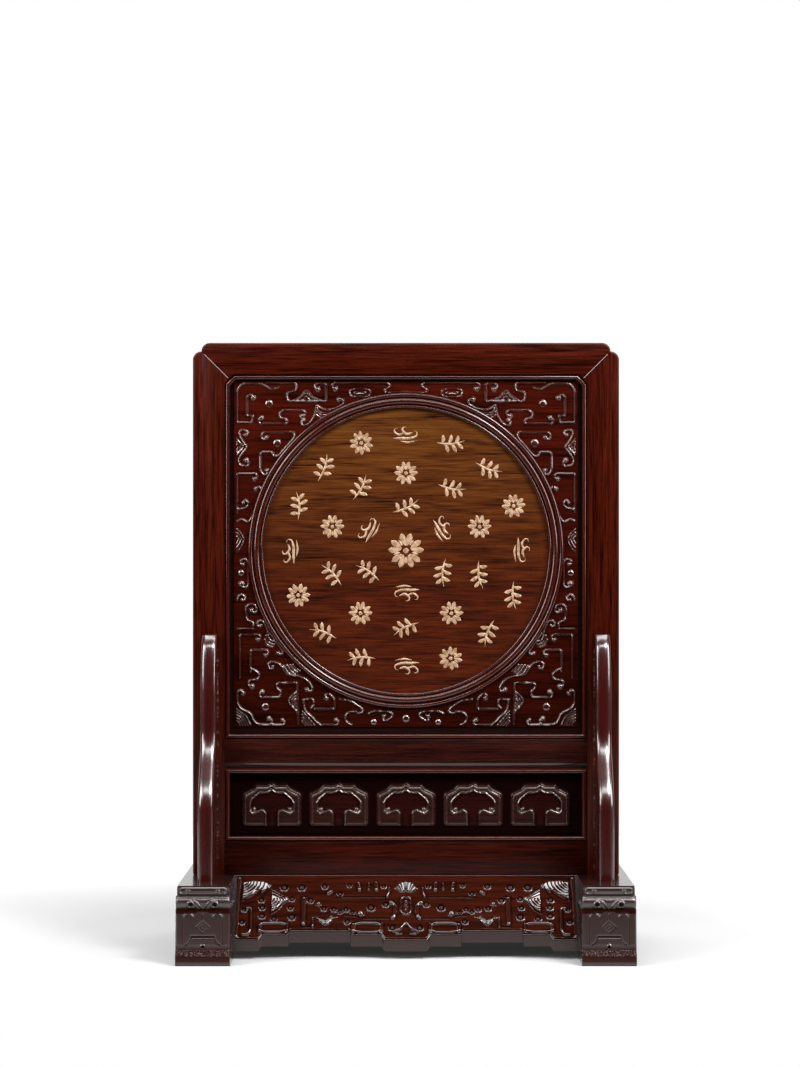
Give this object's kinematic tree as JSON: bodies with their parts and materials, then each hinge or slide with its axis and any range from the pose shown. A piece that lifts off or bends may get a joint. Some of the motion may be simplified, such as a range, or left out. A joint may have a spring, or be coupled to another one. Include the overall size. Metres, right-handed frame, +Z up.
{
  "type": "table screen",
  "caption": "Hardwood table screen with a framed round panel over a waist panel of ruyi heads, on plinth feet with standing brackets and sloping lobed aprons; it shields or decorates a desk.",
  "frame": {"origin": "on the table, midway between the feet and midway from front to back", "axes": "+Z up, +X to the right seen from the front, front facing -Y"},
  "size_m": [0.261, 0.129, 0.357],
  "materials": {
    "frame_wood": "polished dark red-brown hardwood",
    "carved_wood": "waxed carved dark red-brown hardwood",
    "roundel_wood": "satin golden-brown hardwood",
    "hidden_wood": "plain sawn hardwood",
    "gilding": "matt gilt"
  },
  "bodies": {
    "root": {"top_rail": "frame_wood", "left_stile": "frame_wood", "right_stile": "frame_wood", "middle_rail": "frame_wood", "lower_rail": "frame_wood", "spandrel_panel": "carved_wood", "roundel_ring": "frame_wood", "roundel_disc": "roundel_wood", "back_panel": "frame_wood", "waist_panel": "carved_wood", "front_apron": "carved_wood", "rear_apron": "carved_wood", "left_foot": "frame_wood", "right_foot": "frame_wood", "front_left_bracket": "frame_wood", "front_right_bracket": "frame_wood", "rear_left_bracket": "frame_wood", "rear_right_bracket": "frame_wood", "bracket_keys": "hidden_wood", "foot_wedges": "hidden_wood"}
  },
  "joints": []
}
